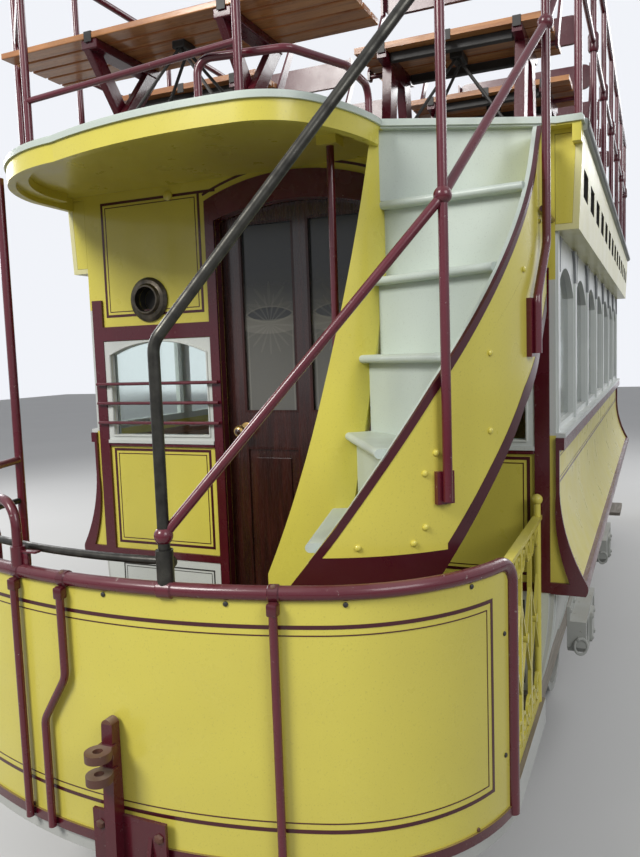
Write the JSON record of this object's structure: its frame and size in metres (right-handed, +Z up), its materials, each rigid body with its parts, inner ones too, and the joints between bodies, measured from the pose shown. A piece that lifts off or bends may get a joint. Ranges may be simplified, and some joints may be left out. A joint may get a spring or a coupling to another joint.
{
  "type": "double-deck horse tramcar",
  "caption": "Open-top double-deck horse tramcar with curved dashes, winding stairs, sliding end doors, slatted deck seats and free-running wheelsets.",
  "frame": {"origin": "centre of the car's footprint, at the bottom of the wheel flanges", "axes": "+X along the car towards the A end, whose stair is on the +Y side; +Z up"},
  "size_m": [6.9518, 2.1698, 3.465],
  "materials": {
    "yellow_paint": "gloss",
    "cream_paint": "gloss",
    "grey_paint": "satin",
    "white_paint": "satin",
    "stair_paint": "satin",
    "handrail_bronze": "satin",
    "maroon_timber": "gloss",
    "maroon_ironwork": "gloss",
    "grey_iron": "satin",
    "spring_steel": "satin",
    "bronze": "satin",
    "varnished_wood": "gloss",
    "mahogany": "gloss",
    "frame_timber": "matte",
    "clear_glass": "gloss",
    "frosted_glass": "satin"
  },
  "bodies": {
    "car": {"axle_guards": "grey_iron", "axle_springs": "spring_steel", "benches": "varnished_wood", "brake_gear": "grey_iron", "bulkhead_a": "yellow_paint", "bulkhead_b": "yellow_paint", "bulkhead_frames": "maroon_timber", "canopy_a": "yellow_paint", "canopy_b": "yellow_paint", "canopy_posts": "maroon_ironwork", "canopy_rails": "maroon_ironwork", "canopy_rims": "stair_paint", "ceiling": "cream_paint", "couplings": "maroon_ironwork", "dash_a": "yellow_paint", "dash_b": "yellow_paint", "dash_rail_a": "maroon_ironwork", "dash_rail_b": "maroon_ironwork", "dash_stays": "maroon_ironwork", "deck_rail_left": "maroon_ironwork", "deck_rail_right": "maroon_ironwork", "end_white_panels": "white_paint", "entry_steps": "frame_timber", "gates": "yellow_paint", "guard_bars": "maroon_ironwork", "inner_strings": "yellow_paint", "lamp_bells": "bronze", "letterboards": "cream_paint", "outer_string_a": "yellow_paint", "outer_string_b": "yellow_paint", "platform_a": "grey_paint", "platform_b": "grey_paint", "rocker_panels": "white_paint", "saloon_floor": "frame_timber", "saloon_glass": "clear_glass", "seat_backs": "maroon_timber", "seats_left": "varnished_wood", "seats_right": "varnished_wood", "side_mouldings": "maroon_timber", "side_panel_left": "yellow_paint", "side_panel_right": "yellow_paint", "side_windows_left": "white_paint", "side_windows_right": "white_paint", "stair_hoops": "maroon_ironwork", "stair_rails_a": "maroon_ironwork", "stair_rails_b": "maroon_ironwork", "stair_steps_a": "stair_paint", "stair_steps_b": "stair_paint", "stair_top_rails": "handrail_bronze", "underframe": "frame_timber", "upper_deck": "grey_paint"},
    "door_a": {"door_a": "mahogany", "door_glass_a": "frosted_glass"},
    "door_b": {"door_b": "mahogany", "door_glass_b": "frosted_glass"},
    "wheelset_a": {"axle_a": "grey_iron", "wheels_a": "grey_iron"},
    "wheelset_b": {"axle_b": "grey_iron", "wheels_b": "grey_iron"}
  },
  "joints": [
    {"name": "door_a_slide", "type": "slide", "parent": "car", "child": "door_a", "axis": [0, 1, 0], "range_m": [0, 0.51]},
    {"name": "door_b_slide", "type": "slide", "parent": "car", "child": "door_b", "axis": [0, -1, 0], "range_m": [0, 0.51]},
    {"name": "wheelset_a_spin", "type": "hinge", "parent": "car", "child": "wheelset_a", "pos_m": [0.838, 0, 0.4], "axis": [0, 1, 0], "continuous": true},
    {"name": "wheelset_b_spin", "type": "hinge", "parent": "car", "child": "wheelset_b", "pos_m": [-0.838, 0, 0.4], "axis": [0, 1, 0], "continuous": true}
  ]
}
